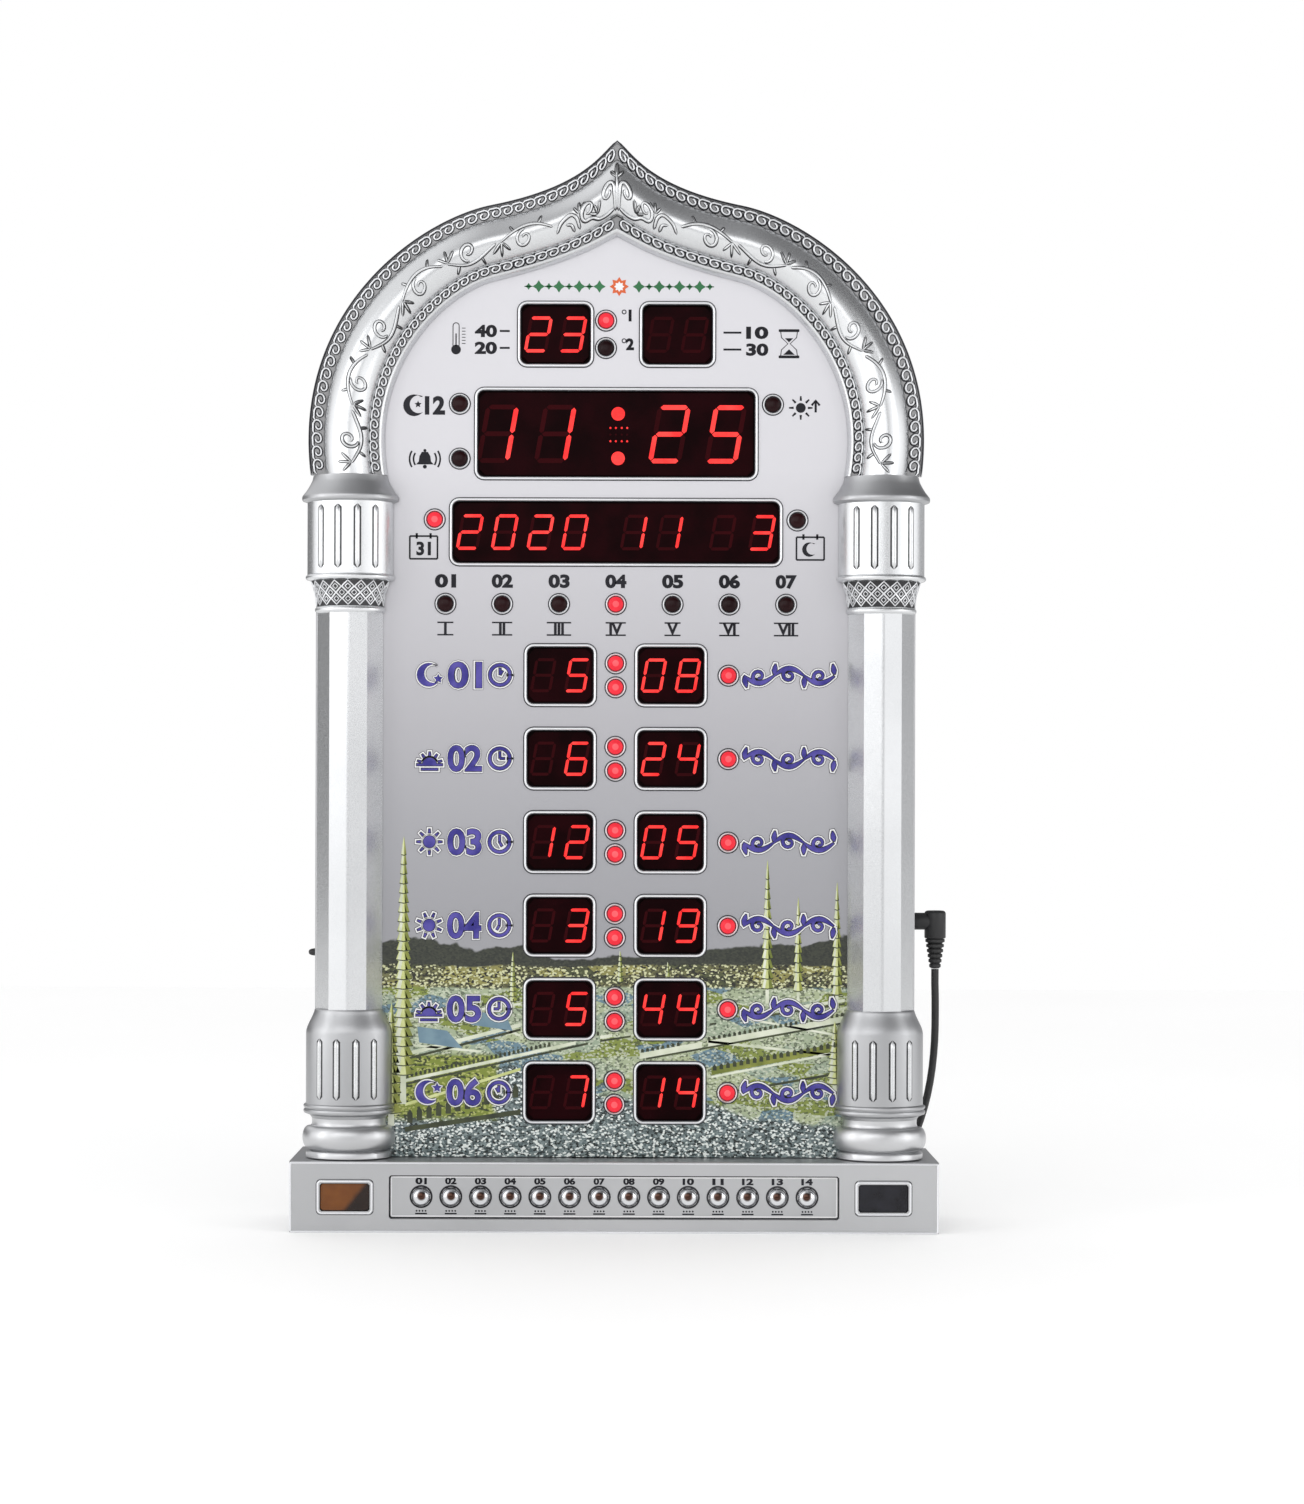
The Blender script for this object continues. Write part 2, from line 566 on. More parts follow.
def add_turned(bm, profile, sides, place, axis, closed=False):
    """Spins a profile about an axis through a place, inside a bmesh that may hold more."""
    verts = [bm.verts.new((radius, 0.0, along)) for radius, along in profile]
    ends = verts + verts[:1] if closed else verts
    edges = [bm.edges.new(pair) for pair in zip(ends, ends[1:])]
    before = set(bm.verts)
    bmesh.ops.spin(bm, geom=verts + edges, cent=(0, 0, 0), axis=(0, 0, 1), angle=math.tau,
                   steps=sides, use_merge=False, use_duplicate=False)
    made = list(set(bm.verts) - before) + verts
    turn = Vector((0, 0, 1)).rotation_difference(Vector(axis)).to_matrix().to_4x4()
    bmesh.ops.transform(bm, matrix=Matrix.Translation(place) @ turn, verts=made)
    bmesh.ops.remove_doubles(bm, verts=made, dist=WELD_DISTANCE)


def build_arch(finish):
    """The carved band over the panel: a rim, two flat borders and a half-round band, hollow behind."""
    outer = outer_line(SPRING_Z)
    inner = inner_line(SPRING_Z)
    rim_y = MOULDING_BACK_Y - ARCH_RIM_HEIGHT
    border_y = MOULDING_BACK_Y - ARCH_BORDER_HEIGHT
    middle = (BAND_START_SHARE + BAND_END_SHARE) / 2
    reach = (BAND_END_SHARE - BAND_START_SHARE) / 2
    crown = ARCH_CROWN_HEIGHT - ARCH_BORDER_HEIGHT
    section = [(0.0, MOULDING_BACK_Y), (0.0, rim_y), (RIM_SHARE / 2, border_y - ARCH_RIM_HEIGHT / 4),
               (RIM_SHARE, border_y), (OUTER_BORDER_SHARE, border_y)]
    for step in range(BAND_STEPS + 1):
        angle = math.pi * step / BAND_STEPS
        section.append((middle - reach * math.cos(angle), border_y - crown * math.sin(angle)))
    section += [(INNER_BORDER_SHARE, border_y), (1.0, MOULDING_BACK_Y - SEAT_GAP),
                (1.0, MOULDING_BACK_Y)]
    shell_y = MOULDING_BACK_Y - ARCH_CROWN_HEIGHT + ARCH_SHELL
    section += [(BAND_END_SHARE - RIM_SHARE, MOULDING_BACK_Y), (middle + reach / 2, shell_y),
                (middle - reach / 2, shell_y), (BAND_START_SHARE + RIM_SHARE, MOULDING_BACK_Y)]
    rails = [(blend(outer, inner, share), y) for share, y in section]
    return band("arch_moulding", rails, finish["silver_paint"], 40.0)


def build_case(finish):
    """The deep case wall behind the arch and columns, with the pocket and ledge that hold the panel."""
    foot = BASE_HEIGHT + SEAT_GAP
    outside = case_outside(foot)
    inside = case_inside(foot)
    pocket = shifted(inner_line(foot), PANEL_LAP + SEAT_GAP)
    ledge = shifted(inner_line(foot), PANEL_LAP + SEAT_GAP - LEDGE_REACH)
    rails = [(outside, SHELL_BACK_Y), (outside, PANEL_Y), (pocket, PANEL_Y), (pocket, LEDGE_Y),
             (ledge, LEDGE_Y), (ledge, LEDGE_BACK_Y), (inside, LEDGE_BACK_Y), (inside, SHELL_BACK_Y)]
    case = band("main_case", rails, finish["silver_paint"])
    bm = bmesh.new()
    for x, z in cover_post_places():
        length = SHELL_BACK_Y - LEDGE_BACK_Y + SUNK
        profile = [(0.0, 0.0), (POST_RADIUS, 0.0), (POST_RADIUS, length), (0.0, length)]
        add_turned(bm, profile, POST_SIDES, (x, LEDGE_BACK_Y - SUNK, z), (0, 1, 0))
    for x, z in board_post_places():
        length = BOARD_Y - SEAT_GAP - LEDGE_BACK_Y + SUNK
        profile = [(0.0, 0.0), (BOARD_POST_RADIUS, 0.0), (BOARD_POST_RADIUS, length), (0.0, length)]
        add_turned(bm, profile, POST_SIDES, (x, LEDGE_BACK_Y - SUNK, z), (0, 1, 0))
    combine(case, add_object("case_posts", bm, finish["silver_paint"]), "UNION")
    bm = bmesh.new()
    wall_middle = CASE_HALF_WIDTH - CASE_WALL / 2
    fittings = ((1, JACK_HEIGHT, JACK_BODY_RADIUS), (-1, PROBE_HEIGHT, probe_hole_radius()))
    for side, height, radius in fittings:
        reach = CASE_WALL / 2 + CUT_OVERRUN
        hole = radius + SEAT_GAP
        profile = [(0.0, -reach), (hole, -reach), (hole, reach), (0.0, reach)]
        add_turned(bm, profile, ROUND_SIDES, (side * wall_middle, SIDE_FITTING_Y, height), (1, 0, 0))
    combine(case, add_object("case_side_holes", bm, finish["silver_paint"]), "DIFFERENCE")
    return case


def case_outside(foot_z):
    """The outside of the case wall, a little inside the arch moulding's edge."""
    return shifted(outer_line(foot_z), -CASE_INSET)


def case_inside(foot_z):
    """The inside of the case wall."""
    return shifted(case_outside(foot_z), -CASE_WALL)


def cover_post_places():
    """Where the rear cover is screwed down, along both side walls of the case."""
    x = CASE_HALF_WIDTH - CASE_WALL - POST_WALL_GAP - POST_RADIUS
    span = SPRING_Z - BASE_HEIGHT
    return [(side * x, BASE_HEIGHT + span * share) for share in POST_HEIGHT_SHARES for side in (-1, 1)]


def board_post_places():
    """Where the display board stands off the panel ledge."""
    x = INNER_HALF_WIDTH + PANEL_LAP + SEAT_GAP - LEDGE_REACH / 2
    span = SPRING_Z - BASE_HEIGHT
    return [(side * x, BASE_HEIGHT + span * share) for share in BOARD_POST_SHARES for side in (-1, 1)]


def probe_hole_radius():
    return PROBE_RADIUS + 2 * SEAT_GAP


def column_section(half_width, facets):
    """The outline of a half column at one height: an ellipse, or four flat facets."""
    points = []
    for k in range(COLUMN_SIDES + 1):
        angle = math.pi * k / COLUMN_SIDES
        x, depth = math.cos(angle), math.sin(angle)
        if facets:
            place = k * (len(FACET_SHARES) - 1) / COLUMN_SIDES
            first = min(int(place), len(FACET_SHARES) - 2)
            part = place - first
            start, end = FACET_SHARES[first], FACET_SHARES[first + 1]
            x = start[0] + (end[0] - start[0]) * part
            depth = start[1] + (end[1] - start[1]) * part
        points.append((half_width * x, -half_width * COLUMN_DEPTH_SHARE * depth))
    return points


def column_rows():
    """(height, half-width, faceted) from the foot to the roof, stacked from the named parts."""
    z = BASE_HEIGHT + SEAT_GAP
    rows = [(z, FOOT_HALF_WIDTH, False), (z + FOOT_HEIGHT, NECK_HALF_WIDTH, False)]
    z += FOOT_HEIGHT
    for k in range(TORUS_ROWS + 1):
        angle = math.pi * k / TORUS_ROWS
        swell = (TORUS_HALF_WIDTH - NECK_HALF_WIDTH) * math.sin(angle)
        height = z + SUNK + (TORUS_HEIGHT - SUNK) * (1 - math.cos(angle)) / 2
        rows.append((height, NECK_HALF_WIDTH + swell, False))
    z += TORUS_HEIGHT + NECK_HEIGHT
    rows.append((z, NECK_HALF_WIDTH, False))
    ring = DOUBLE_RING_HEIGHT / 4
    for step in (1, 3, 4, 5, 7):
        groove = DOUBLE_RING_GROOVE if step == 4 else 0.0
        rows.append((z + ring * step / 2, DOUBLE_RING_HALF_WIDTH - groove, False))
    z += DOUBLE_RING_HEIGHT
    rows.append((z, DRUM_HALF_WIDTH, False))
    z += PEDESTAL_HEIGHT
    rows.append((z, DRUM_HALF_WIDTH, False))
    z += SHOULDER_HEIGHT
    rows.append((z - SHOULDER_HEIGHT / 2, (DRUM_HALF_WIDTH + 2 * SHAFT_HALF_WIDTH) / 3, True))
    rows.append((z, SHAFT_HALF_WIDTH, True))
    top = capital_foot_z()
    rows.append((top, SHAFT_HALF_WIDTH, True))
    rows.append((top + SUNK, NECKING_HALF_WIDTH, False))
    z = top + NECKING_HEIGHT
    rows.append((z - SUNK, NECKING_HALF_WIDTH, False))
    rows.append((z, CUP_FOOT_HALF_WIDTH, False))
    rows.append((z + CUP_HEIGHT / 2, (CUP_FOOT_HALF_WIDTH * 2 + CUP_RIM_HALF_WIDTH) / 3, False))
    z += CUP_HEIGHT
    rows += [(z, CUP_RIM_HALF_WIDTH, False), (z + SUNK, DRUM_RING_HALF_WIDTH, False),
             (z + DRUM_RING_HEIGHT - SUNK, DRUM_RING_HALF_WIDTH, False)]
    z += DRUM_RING_HEIGHT
    rows.append((z, DRUM_HALF_WIDTH, False))
    z += CAPITAL_HEIGHT
    rows += [(z - SUNK, DRUM_HALF_WIDTH, False), (z, EAVE_HALF_WIDTH, False),
             (z + EAVE_HEIGHT, EAVE_HALF_WIDTH, False)]
    rows.append((SPRING_Z - SEAT_GAP, ROOF_HALF_WIDTH, False))
    return rows


def capital_foot_z():
    """Where the shaft ends and the capital starts."""
    return (SPRING_Z - SEAT_GAP - ROOF_HEIGHT - EAVE_HEIGHT - CAPITAL_HEIGHT - DRUM_RING_HEIGHT
            - CUP_HEIGHT - NECKING_HEIGHT)


def drum_spans():
    """(foot, top) of the two fluted drums of a column."""
    lower = BASE_HEIGHT + SEAT_GAP + FOOT_HEIGHT + TORUS_HEIGHT + NECK_HEIGHT + DOUBLE_RING_HEIGHT
    upper = SPRING_Z - SEAT_GAP - ROOF_HEIGHT - EAVE_HEIGHT - CAPITAL_HEIGHT
    return [(lower, lower + PEDESTAL_HEIGHT), (upper, upper + CAPITAL_HEIGHT)]


def build_column(name, x, finish):
    """A half column: torus foot, fluted pedestal, faceted shaft and fluted capital."""
    bm = bmesh.new()
    rows = []
    for z, half_width, facets in column_rows():
        section = column_section(half_width, facets)
        rows.append([bm.verts.new((x + dx, MOULDING_BACK_Y + dy, z)) for dx, dy in section])
    for first, second in zip(rows, rows[1:]):
        skin(bm, first, second)
    bm.faces.new(rows[0])
    bm.faces.new(rows[-1])
    column = add_object(name, bm, finish["silver_paint"], 30.0)
    bm = bmesh.new()
    for foot, top in drum_spans():
        for k in range(BEAD_COUNT):
            angle = math.radians(90 + BEAD_STEP_DEGREES * (k - (BEAD_COUNT - 1) / 2))
            add_bead(bm, x, angle, foot + BEAD_END_MARGIN, top - BEAD_END_MARGIN)
    combine(column, add_object(name + "_beads", bm, finish["silver_paint"]), "UNION")
    return column


def add_bead(bm, x, angle, foot, top):
    """One raised bar of a drum, with tapered ends, half sunk in the drum's wall."""
    out = Vector((math.cos(angle), -math.sin(angle) * COLUMN_DEPTH_SHARE, 0.0))
    middle = Vector((x, MOULDING_BACK_Y, 0.0)) + out * DRUM_HALF_WIDTH
    normal = Vector((math.cos(angle) * COLUMN_DEPTH_SHARE, -math.sin(angle), 0.0)).normalized()
    side = Vector((-normal.y, normal.x, 0.0))
    end = BEAD_HALF_WIDTH
    rings = []
    for z, share in ((foot, 0.0), (foot + end, 1.0), (top - end, 1.0), (top, 0.0)):
        ring = []
        reach = BEAD_HALF_WIDTH * (BEAD_TIP_SHARE + (1 - BEAD_TIP_SHARE) * share)
        lift = Vector((0, 0, z))
        for across, rise in BEAD_SECTION_SHARES:
            out_by = BEAD_RISE * rise * share if rise > 0 else 2 * SUNK * rise
            ring.append(bm.verts.new(middle + side * reach * across + normal * out_by + lift))
        rings.append(ring)
    for first, second in zip(rings, rings[1:]):
        skin(bm, first, second)
    bm.faces.new(rings[0])
    bm.faces.new(rings[-1])


def window_places():
    """name -> (x, z, width, height) of each display window."""
    found = {
        "temperature_display": (-SMALL_WINDOW_X, TOP_ROW_Z, SMALL_WINDOW_WIDTH, SMALL_WINDOW_HEIGHT),
        "countdown_display": (SMALL_WINDOW_X, TOP_ROW_Z, SMALL_WINDOW_WIDTH, SMALL_WINDOW_HEIGHT),
        "time_display": (0.0, TIME_Z, TIME_WINDOW_WIDTH, TIME_WINDOW_HEIGHT),
        "date_display": (0.0, DATE_Z, DATE_WINDOW_WIDTH, DATE_WINDOW_HEIGHT),
    }
    for row in range(ROW_COUNT):
        z = FIRST_ROW_Z - row * ROW_PITCH
        for word, side in (("hour", -1), ("minute", 1)):
            place = (side * ROW_WINDOW_X, z, ROW_WINDOW_WIDTH, ROW_WINDOW_HEIGHT)
            found[f"{word}_display_{row + 1}"] = place
    return found


def lamp_places():
    """(x, z) of every lamp: units, status, date, days, colons and prayer rows."""
    pair = (BEZEL_DIAMETER + LAMP_PAIR_GAP) / 2
    unit_pair = (BEZEL_DIAMETER + UNIT_LAMP_GAP) / 2
    places = [(UNIT_LAMP_X, TOP_ROW_Z + unit_pair), (UNIT_LAMP_X, TOP_ROW_Z - unit_pair)]
    places += [(-TIME_LAMP_X, TIME_Z + STATUS_LAMP_RISE), (-TIME_LAMP_X, TIME_Z - ALARM_LAMP_DROP),
               (TIME_LAMP_X, TIME_Z + STATUS_LAMP_RISE)]
    places += [(side * DATE_LAMP_X, DATE_Z + DATE_LAMP_RISE) for side in (-1, 1)]
    places += [(DAY_PITCH * (k - (DAY_COUNT - 1) / 2), DAY_Z) for k in range(DAY_COUNT)]
    for row in range(ROW_COUNT):
        z = FIRST_ROW_Z - row * ROW_PITCH
        places += [(0.0, z + pair), (0.0, z - pair), (ROW_LAMP_X, z)]
    return places


def lamp_hole_radius():
    """The corner radius of a lamp's hole, whose flat sides clear the lamp."""
    return (LAMP_DIAMETER / 2 + SEAT_GAP) / math.cos(math.pi / LAMP_HOLE_SIDES)


def panel_outline():
    """The outline of the front panel, with its edge under the arch and the columns."""
    return [(p.x, p.y) for p in shifted(inner_line(BASE_HEIGHT + SEAT_GAP), PANEL_LAP)]


def build_panel(finish):
    """The printed front plate, with raised window rims and a cone bezel round each lamp."""
    bm = bmesh.new()
    outline = panel_outline()
    front = [add_loop(bm, outline, PANEL_Y)]
    back = [add_loop(bm, outline, PANEL_BACK_Y)]
    skin(bm, front[0], back[0])
    for x, z, width, height in window_places().values():
        cut = round_rect(width / 2, height / 2, WINDOW_CORNER, 1, (x, z))
        corner = WINDOW_CORNER + RIM_WIDTH / 2
        rim = round_rect(width / 2 + RIM_WIDTH, height / 2 + RIM_WIDTH, corner, 1, (x, z))
        crest = blend_outline(cut, rim, RIM_CREST_SHARE)
        loops = [add_loop(bm, cut, PANEL_BACK_Y), add_loop(bm, cut, PANEL_Y - RIM_RISE),
                 add_loop(bm, crest, PANEL_Y - RIM_RISE), add_loop(bm, rim, PANEL_Y)]
        for first, second in zip(loops, loops[1:]):
            skin(bm, first, second)
        back.append(loops[0])
        front.append(loops[-1])
    for place in lamp_places():
        cut = circle(lamp_hole_radius(), LAMP_HOLE_SIDES, place)
        loops = [add_loop(bm, cut, PANEL_BACK_Y), add_loop(bm, cut, PANEL_Y - BEZEL_RISE),
                 add_loop(bm, circle(BEZEL_RADIUS, LAMP_HOLE_SIDES, place), PANEL_Y)]
        for first, second in zip(loops, loops[1:]):
            skin(bm, first, second)
        back.append(loops[0])
        front.append(loops[-1])
    fill_flat(bm, front, (0, -1, 0))
    fill_flat(bm, back, (0, 1, 0))
    return add_object("front_panel", bm, finish["panel_print"], 30.0)


def blend_outline(first, second, share):
    """The outline at a share of the way between two outlines."""
    return [(a[0] + (b[0] - a[0]) * share, a[1] + (b[1] - a[1]) * share) for a, b in zip(first, second)]


def build_displays(finish):
    """One display unit a window: a dark lens in the opening and a wider body behind the panel."""
    for name, (x, z, width, height) in window_places().items():
        bm = bmesh.new()
        lens = round_rect(width / 2 - SEAT_GAP, height / 2 - SEAT_GAP, WINDOW_CORNER, 1, (x, z))
        half_width = width / 2 + DISPLAY_BORDER
        body = round_rect(half_width, height / 2 + DISPLAY_BORDER, WINDOW_CORNER, 1, (x, z))
        loops = [add_loop(bm, lens, PANEL_Y + LENS_SETBACK), add_loop(bm, lens, DISPLAY_Y),
                 add_loop(bm, body, DISPLAY_Y), add_loop(bm, body, DISPLAY_BACK_Y)]
        bm.faces.new(loops[0])
        for first, second in zip(loops, loops[1:]):
            skin(bm, first, second)
        bm.faces.new(loops[-1])
        add_object(name, bm, finish["display_lens"])


def board_outline():
    """The display board: straight sides, and a top that follows the inside of the arch."""
    foot = BASE_HEIGHT + BOARD_FOOT_RISE
    line = shifted(inner_line(foot), -BOARD_MARGIN)
    limit = TOP_ROW_Z + SMALL_WINDOW_HEIGHT / 2 + BOARD_TOP_MARGIN
    half = INNER_HALF_WIDTH + PANEL_LAP + SEAT_GAP - BOARD_MARGIN
    sides = [(min(abs(p.x), half), p.y) for p in line if p.y < limit and p.x > 0]
    sides = [(half, z) if z <= SPRING_Z else (x, z) for x, z in sides]
    return sides + [(-x, z) for x, z in reversed(sides)]


def build_display_board(finish):
    """The display board with its lamps standing up through the panel."""
    bm = bmesh.new()
    outline = board_outline()
    front = [add_loop(bm, outline, BOARD_Y)]
    back = add_loop(bm, outline, BOARD_BACK_Y)
    skin(bm, front[0], back)
    bm.faces.new(back)
    radius = LAMP_DIAMETER / 2
    shoulder_y = PANEL_Y - LAMP_PROUD / 2
    for place in lamp_places():
        side = circle(radius, LAMP_SIDES, place)
        loops = [add_loop(bm, side, BOARD_Y), add_loop(bm, side, shoulder_y),
                 add_loop(bm, circle(radius / 2, LAMP_SIDES, place), PANEL_Y - LAMP_PROUD)]
        for first, second in zip(loops, loops[1:]):
            skin(bm, first, second)
        bm.faces.new(loops[-1])
        front.append(loops[0])
    fill_flat(bm, front, (0, -1, 0))
    return add_object("display_board", bm, finish["circuit_board"])


def build_base(finish):
    """The base housing: a shell open behind, with a recessed fascia and two framed windows."""
    bm = bmesh.new()
    box(bm, (-BASE_HALF_WIDTH, BASE_FRONT_Y, 0.0), (BASE_HALF_WIDTH, SHELL_BACK_Y, BASE_HEIGHT))
    front_edges = [e for e in bm.edges if all(v.co.y < 0 for v in e.verts)]
    bmesh.ops.bevel(bm, geom=front_edges, offset=BASE_EDGE, segments=2, profile=0.5, affect="EDGES")
    base = add_object("base_housing", bm, finish["silver_paint"])
    bm = bmesh.new()
    box(bm, (-BASE_HALF_WIDTH + BASE_WALL, FASCIA_BACK_Y, BASE_WALL),
        (BASE_HALF_WIDTH - BASE_WALL, SHELL_BACK_Y + CUT_OVERRUN, BASE_HEIGHT - BASE_WALL))
    combine(base, add_object("base_cavity", bm, finish["silver_paint"]), "DIFFERENCE")
    bm = bmesh.new()
    recess = round_rect(FASCIA_HALF_WIDTH, FASCIA_HEIGHT / 2, BASE_EDGE, 1, (0.0, BUTTON_Z))
    add_prism(bm, recess, BASE_FRONT_Y - CUT_OVERRUN, FASCIA_Y)
    add_prism(bm, round_rect(CABLE_SLOT_WIDTH / 2, BASE_WALL, BASE_EDGE, 1, (0.0, BASE_HEIGHT)),
              BUTTON_BOARD_BACK_Y, BUTTON_BOARD_BACK_Y + CABLE_SLOT_DEPTH)
    for side in (-1, 1):
        place = (side * SENSOR_WINDOW_X, BUTTON_Z)
        cut = round_rect(SENSOR_WINDOW_WIDTH / 2, SENSOR_WINDOW_HEIGHT / 2, BASE_EDGE, 1, place)
        add_prism(bm, cut, BASE_FRONT_Y - CUT_OVERRUN, FASCIA_BACK_Y + CUT_OVERRUN)
    recess_tool = add_object("base_openings", bm, finish["silver_paint"])
    combine(base, recess_tool, "DIFFERENCE")
    bm = bmesh.new()
    for x in button_places():
        hole = circle(BUTTON_DIAMETER / 2 + SEAT_GAP, BUTTON_SIDES, (x, BUTTON_Z))
        add_prism(bm, hole, FASCIA_Y - CUT_OVERRUN, FASCIA_BACK_Y + CUT_OVERRUN)
    combine(base, add_object("base_button_holes", bm, finish["silver_paint"]), "DIFFERENCE")
    bm = bmesh.new()
    for side in (-1, 1):
        add_sensor_lip(bm, side)
        lug = side * BASE_HALF_WIDTH * LUG_SHARE
        box(bm, (lug - LUG_SIZE / 2, SHELL_BACK_Y - LUG_SIZE, BASE_WALL - SUNK),
            (lug + LUG_SIZE / 2, SHELL_BACK_Y, LUG_SIZE))
        length = BUTTON_BOARD_Y - SEAT_GAP - FASCIA_BACK_Y + SUNK
        profile = [(0.0, 0.0), (BOARD_POST_RADIUS, 0.0), (BOARD_POST_RADIUS, length), (0.0, length)]
        z = BUTTON_Z + button_board_half_height() - BOARD_POST_RADIUS
        for x in (BUTTON_PITCH, FASCIA_HALF_WIDTH - POST_RADIUS):
            add_turned(bm, profile, POST_SIDES, (side * x, FASCIA_BACK_Y - SUNK, z), (0, 1, 0))
    combine(base, add_object("base_lips_and_lugs", bm, finish["silver_paint"]), "UNION")
    return base


def button_places():
    return [BUTTON_PITCH * (k - (BUTTON_COUNT - 1) / 2) for k in range(BUTTON_COUNT)]


def button_board_half_height():
    return BASE_HEIGHT / 2 - BASE_WALL - BUTTON_BOARD_MARGIN + BOARD_POST_RADIUS


def add_prism(bm, outline, near_y, far_y):
    """A solid with one outline from a near depth to a far one."""
    near = add_loop(bm, outline, near_y)
    far = add_loop(bm, outline, far_y)
    skin(bm, near, far)
    bm.faces.new(near)
    bm.faces.new(far)


def add_sensor_lip(bm, side):
    """The raised frame round a sensor window."""
    place = (side * SENSOR_WINDOW_X, BUTTON_Z)
    half_width = SENSOR_WINDOW_WIDTH / 2
    half_height = SENSOR_WINDOW_HEIGHT / 2
    inner = round_rect(half_width, half_height, BASE_EDGE, 1, place)
    outer = round_rect(half_width + SENSOR_LIP_WIDTH, half_height + SENSOR_LIP_WIDTH,
                       BASE_EDGE + SENSOR_LIP_WIDTH / 2, 1, place)
    crest = blend_outline(inner, outer, SENSOR_LIP_CREST_SHARE)
    crest_y = BASE_FRONT_Y - SENSOR_LIP_RISE
    sunk_y = BASE_FRONT_Y + SUNK
    loops = [add_loop(bm, inner, sunk_y), add_loop(bm, inner, crest_y), add_loop(bm, crest, crest_y),
             add_loop(bm, outer, BASE_FRONT_Y), add_loop(bm, outer, sunk_y)]
    for first, second in zip(loops, loops[1:] + loops[:1]):
        skin(bm, first, second)


def build_sensor_windows(finish):
    """The amber window and the dark window, each a stepped pane held from behind, with its sensor."""
    for side, pane, sensor, colour in ((-1, "amber_window", "light_sensor", "amber_lens"),
                                       (1, "dark_window", "remote_receiver", "black_lens")):
        place = (side * SENSOR_WINDOW_X, BUTTON_Z)
        bm = bmesh.new()
        half_width = SENSOR_WINDOW_WIDTH / 2
        half_height = SENSOR_WINDOW_HEIGHT / 2
        plug = round_rect(half_width - SEAT_GAP, half_height - SEAT_GAP, BASE_EDGE, 1, place)
        flange = round_rect(half_width + SENSOR_LENS_FLANGE, half_height + SENSOR_LENS_FLANGE,
                            BASE_EDGE, 1, place)
        flange_y = FASCIA_BACK_Y + SEAT_GAP
        loops = [add_loop(bm, plug, BASE_FRONT_Y + SEAT_GAP), add_loop(bm, plug, flange_y),
                 add_loop(bm, flange, flange_y), add_loop(bm, flange, flange_y + SENSOR_LENS_THICKNESS)]
        bm.faces.new(loops[0])
        for first, second in zip(loops, loops[1:]):
            skin(bm, first, second)
        bm.faces.new(loops[-1])
        add_object(pane, bm, finish[colour])
        start = flange_y + SENSOR_LENS_THICKNESS + SEAT_GAP
        length = BUTTON_BOARD_Y - SEAT_GAP - start
        radius = BOARD_POST_RADIUS
        profile = [(0.0, 0.0), (radius / 2, 0.0), (radius, radius / 2), (radius, length), (0.0, length)]
        turned(sensor, profile, ROUND_SIDES, (place[0], start, BUTTON_Z), (0, 1, 0),
               finish["black_plastic"])


def build_button(index, x, finish):
    """A domed cap, its retaining flange and its plunger, with the origin on the sliding axis."""
    radius = BUTTON_DIAMETER / 2
    rise = BUTTON_CAP_HEIGHT
    profile = [(0.0, 0.0)]
    profile += [(radius * across, rise * deep) for across, deep in BUTTON_DOME_SHARES]
    profile.append((radius, rise))
    flange = BUTTON_FLANGE_Y - FRONT_Y
    tip = SWITCH_Y + PLUNGER_ENGAGEMENT - FRONT_Y
    profile += [(radius, flange), (radius + BUTTON_FLANGE, flange),
                (radius + BUTTON_FLANGE, flange + BUTTON_FLANGE_THICKNESS),
                (PLUNGER_RADIUS, flange + BUTTON_FLANGE_THICKNESS),
                (PLUNGER_RADIUS, tip), (0.0, tip)]
    item = turned(f"button_{index:02d}", profile, BUTTON_SIDES, (0, 0, 0), (0, 1, 0),
                  finish["chrome_plating"])
    item.location = (x, FRONT_Y, BUTTON_Z)
    return item


def build_button_board(finish):
    """The key board with one tact switch behind each button."""
    bm = bmesh.new()
    half = SENSOR_WINDOW_X + BUTTON_BOARD_END
    outline = round_rect(half, button_board_half_height(), BASE_EDGE, 1, (0.0, BUTTON_Z))
    front = [add_loop(bm, outline, BUTTON_BOARD_Y)]
    back = add_loop(bm, outline, BUTTON_BOARD_BACK_Y)
    skin(bm, front[0], back)
    bm.faces.new(back)
    depth = PLUNGER_ENGAGEMENT + BUTTON_TRAVEL + SEAT_GAP
    for x in button_places():
        square = circle(SWITCH_SIZE / math.sqrt(2), 4, (x, BUTTON_Z))
        reach = (PLUNGER_RADIUS + SEAT_GAP) / math.cos(math.pi / POST_SIDES)
        recess = circle(reach, POST_SIDES, (x, BUTTON_Z))
        foot = add_loop(bm, square, BUTTON_BOARD_Y)
        top = add_loop(bm, square, SWITCH_Y)
        mouth = add_loop(bm, recess, SWITCH_Y)
        bottom = add_loop(bm, recess, SWITCH_Y + depth)
        skin(bm, foot, top)
        fill_flat(bm, [top, mouth], (0, -1, 0))
        skin(bm, mouth, bottom)
        bm.faces.new(bottom)
        front.append(foot)
    fill_flat(bm, front, (0, -1, 0))
    return add_object("button_board", bm, finish["circuit_board"])


def cover_outline():
    """The cover's edge: the case outline, widened at the base."""
    line = case_outside(BASE_HEIGHT - COVER_EDGE_GAP)
    half = BASE_HALF_WIDTH - COVER_EDGE_GAP
    points = [(half, COVER_EDGE_GAP), (half, BASE_HEIGHT - COVER_EDGE_GAP)]
    points += [(p.x, p.y) for p in line]
    return points + [(-half, BASE_HEIGHT - COVER_EDGE_GAP), (-half, COVER_EDGE_GAP)]


